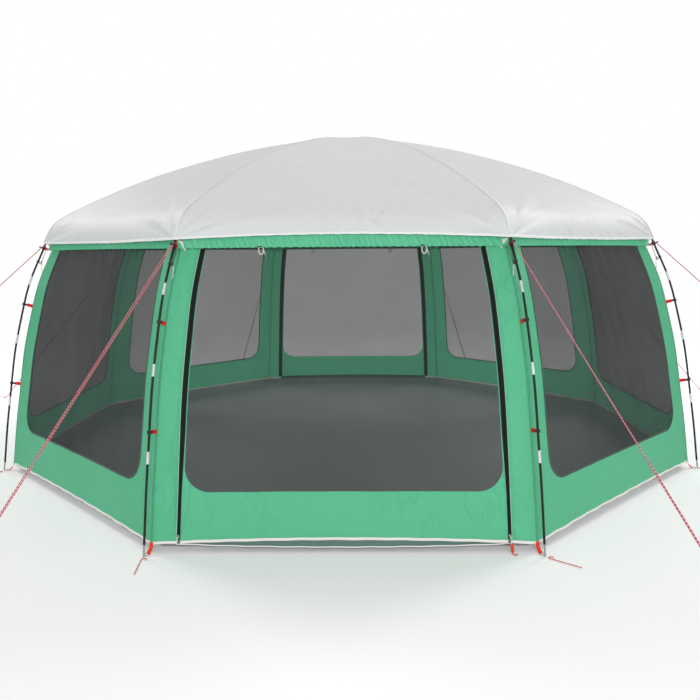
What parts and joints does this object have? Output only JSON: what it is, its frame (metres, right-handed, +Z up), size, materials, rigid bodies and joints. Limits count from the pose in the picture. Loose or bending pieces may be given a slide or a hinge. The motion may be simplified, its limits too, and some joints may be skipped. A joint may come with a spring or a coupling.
{
  "type": "screen house",
  "caption": "Eight-sided pole-framed camping shelter with mesh window walls, two roll-up zip doors, sewn floor, coated roof and guy lines with sliding tensioners.",
  "frame": {"origin": "centre of the floor at ground level", "axes": "+Z up; the front door faces -Y and the back door faces +Y; +X to the right seen from the front"},
  "size_m": [7.9082, 7.9082, 2.4524],
  "materials": {
    "roof_fabric": "coated polyester, light grey-white",
    "green_fabric": "light polyester, sea green",
    "window_mesh": "fine no-see-um mesh, black",
    "white_binding": "woven binding tape",
    "dark_binding": "woven binding tape",
    "groundsheet": "coated woven floor sheet",
    "pole_fibreglass": "pultruded glass fibre tube",
    "black_steel": "painted bent steel tube",
    "ferrule": "bright sleeve",
    "steel": "zinc plated",
    "cord_black": "elastic cord",
    "black_plastic": "moulded",
    "red_webbing": "woven webbing",
    "orange_webbing": "woven webbing",
    "reflective": "reflective patch",
    "white_cord": "braided cord",
    "guy_cord": "braided cord with pale tracer",
    "peg_red": "painted wire",
    "zip_tape": "zip tape with coil",
    "toggle_white": "elastic loop and bar"
  },
  "bodies": {
    "tent": {"groundsheet": "groundsheet", "arch_pole_1": "pole_fibreglass", "arch_pole_2": "pole_fibreglass", "arch_pole_3": "pole_fibreglass", "arch_pole_4": "pole_fibreglass", "pole_ferrules": "ferrule", "shoulder_elbows": "black_steel", "shock_cords": "cord_black", "foot_tips": "steel", "foot_ring_pins": "steel", "base_straps": "orange_webbing", "ground_pegs": "peg_red", "pole_clips": "black_plastic", "wall_tabs": "red_webbing", "eave_hooks": "black_plastic", "reflective_patches": "reflective", "corner_elastics": "cord_black", "elastic_tails": "white_cord", "guy_lines": "guy_cord", "roof_canopy": "roof_fabric", "roof_pole_sleeves": "roof_fabric", "roof_valance": "green_fabric", "wall_right_front": "green_fabric", "wall_right": "green_fabric", "wall_right_back": "green_fabric", "wall_left_back": "green_fabric", "wall_left": "green_fabric", "wall_left_front": "green_fabric", "window_meshes": "window_mesh", "window_bindings": "dark_binding", "wall_hem_binding": "white_binding", "front_door_surround": "green_fabric", "back_door_surround": "green_fabric", "zip_tapes_fixed": "zip_tape", "door_toggles": "toggle_white"},
    "front_door": {"front_door_hem": "white_binding", "front_door_panel": "green_fabric", "front_door_mesh": "window_mesh", "front_door_zip_tapes": "zip_tape"},
    "front_zip_slider_left": {"front_zip_slider_left": "steel"},
    "front_zip_pull_left": {"front_zip_pull_left": "white_cord"},
    "front_zip_slider_right": {"front_zip_slider_right": "steel"},
    "front_zip_pull_right": {"front_zip_pull_right": "white_cord"},
    "back_door": {"back_door_hem": "white_binding", "back_door_panel": "green_fabric", "back_door_mesh": "window_mesh", "back_door_zip_tapes": "zip_tape"},
    "back_zip_slider_left": {"back_zip_slider_left": "steel"},
    "back_zip_pull_left": {"back_zip_pull_left": "white_cord"},
    "back_zip_slider_right": {"back_zip_slider_right": "steel"},
    "back_zip_pull_right": {"back_zip_pull_right": "white_cord"},
    "guy_tensioner_front_left": {"guy_tensioner_front_left": "black_plastic"},
    "guy_tensioner_front_right": {"guy_tensioner_front_right": "black_plastic"},
    "guy_tensioner_right_front": {"guy_tensioner_right_front": "black_plastic"},
    "guy_tensioner_right_back": {"guy_tensioner_right_back": "black_plastic"},
    "guy_tensioner_back_right": {"guy_tensioner_back_right": "black_plastic"},
    "guy_tensioner_back_left": {"guy_tensioner_back_left": "black_plastic"},
    "guy_tensioner_left_back": {"guy_tensioner_left_back": "black_plastic"},
    "guy_tensioner_left_front": {"guy_tensioner_left_front": "black_plastic"}
  },
  "joints": [
    {"name": "front_door_roll", "type": "slide", "parent": "tent", "child": "front_door", "axis": [0, 0.2873, 0.9578], "range_m": [0, 1.4869], "deforming": ["front_door_panel", "front_door_mesh", "front_door_zip_tapes"]},
    {"name": "front_zip_left", "type": "hinge", "parent": "tent", "child": "front_zip_slider_left", "pos_m": [0.81733, 2.29443, -0.25749], "axis": [-0.942, 0.3356, 0], "range_deg": [0, 17.16]},
    {"name": "front_pull_left", "type": "hinge", "parent": "front_zip_slider_left", "child": "front_zip_pull_left", "pos_m": [-0.8675, -2.43528, 0.084], "axis": [-0.942, 0.3356, 0], "range_deg": [0, 150]},
    {"name": "front_zip_right", "type": "hinge", "parent": "tent", "child": "front_zip_slider_right", "pos_m": [-0.81733, 2.29443, -0.25749], "axis": [-0.942, -0.3356, 0], "range_deg": [0, 17.16]},
    {"name": "front_pull_right", "type": "hinge", "parent": "front_zip_slider_right", "child": "front_zip_pull_right", "pos_m": [0.8675, -2.43528, 0.084], "axis": [-0.942, -0.3356, 0], "range_deg": [0, 150]},
    {"name": "back_door_roll", "type": "slide", "parent": "tent", "child": "back_door", "axis": [0, -0.2873, 0.9578], "range_m": [0, 1.4869], "deforming": ["back_door_panel", "back_door_mesh", "back_door_zip_tapes"]},
    {"name": "back_zip_left", "type": "hinge", "parent": "tent", "child": "back_zip_slider_left", "pos_m": [0.81733, -2.29443, -0.25749], "axis": [0.942, 0.3356, 0], "range_deg": [0, 17.16]},
    {"name": "back_pull_left", "type": "hinge", "parent": "back_zip_slider_left", "child": "back_zip_pull_left", "pos_m": [-0.8675, 2.43528, 0.084], "axis": [0.942, 0.3356, 0], "range_deg": [0, 150]},
    {"name": "back_zip_right", "type": "hinge", "parent": "tent", "child": "back_zip_slider_right", "pos_m": [-0.81733, -2.29443, -0.25749], "axis": [0.942, -0.3356, 0], "range_deg": [0, 17.16]},
    {"name": "back_pull_right", "type": "hinge", "parent": "back_zip_slider_right", "child": "back_zip_pull_right", "pos_m": [0.8675, 2.43528, 0.084], "axis": [0.942, -0.3356, 0], "range_deg": [0, 150]},
    {"name": "guy_tension_front_left", "type": "slide", "parent": "tent", "child": "guy_tensioner_front_left", "axis": [-0.2824, -0.6818, -0.6749], "range_m": [-0.55, 0.6]},
    {"name": "guy_tension_front_right", "type": "slide", "parent": "tent", "child": "guy_tensioner_front_right", "axis": [0.2824, -0.6818, -0.6749], "range_m": [-0.55, 0.6]},
    {"name": "guy_tension_right_front", "type": "slide", "parent": "tent", "child": "guy_tensioner_right_front", "axis": [0.6818, -0.2824, -0.6749], "range_m": [-0.55, 0.6]},
    {"name": "guy_tension_right_back", "type": "slide", "parent": "tent", "child": "guy_tensioner_right_back", "axis": [0.6818, 0.2824, -0.6749], "range_m": [-0.55, 0.6]},
    {"name": "guy_tension_back_right", "type": "slide", "parent": "tent", "child": "guy_tensioner_back_right", "axis": [0.2824, 0.6818, -0.6749], "range_m": [-0.55, 0.6]},
    {"name": "guy_tension_back_left", "type": "slide", "parent": "tent", "child": "guy_tensioner_back_left", "axis": [-0.2824, 0.6818, -0.6749], "range_m": [-0.55, 0.6]},
    {"name": "guy_tension_left_back", "type": "slide", "parent": "tent", "child": "guy_tensioner_left_back", "axis": [-0.6818, 0.2824, -0.6749], "range_m": [-0.55, 0.6]},
    {"name": "guy_tension_left_front", "type": "slide", "parent": "tent", "child": "guy_tensioner_left_front", "axis": [-0.6818, -0.2824, -0.6749], "range_m": [-0.55, 0.6]}
  ],
  "couplings": [
    {"joint": "front_zip_left", "follows": "front_door_roll", "rad_per_m": 0.20118},
    {"joint": "front_zip_right", "follows": "front_door_roll", "rad_per_m": 0.20118},
    {"joint": "back_zip_left", "follows": "back_door_roll", "rad_per_m": 0.20118},
    {"joint": "back_zip_right", "follows": "back_door_roll", "rad_per_m": 0.20118}
  ]
}
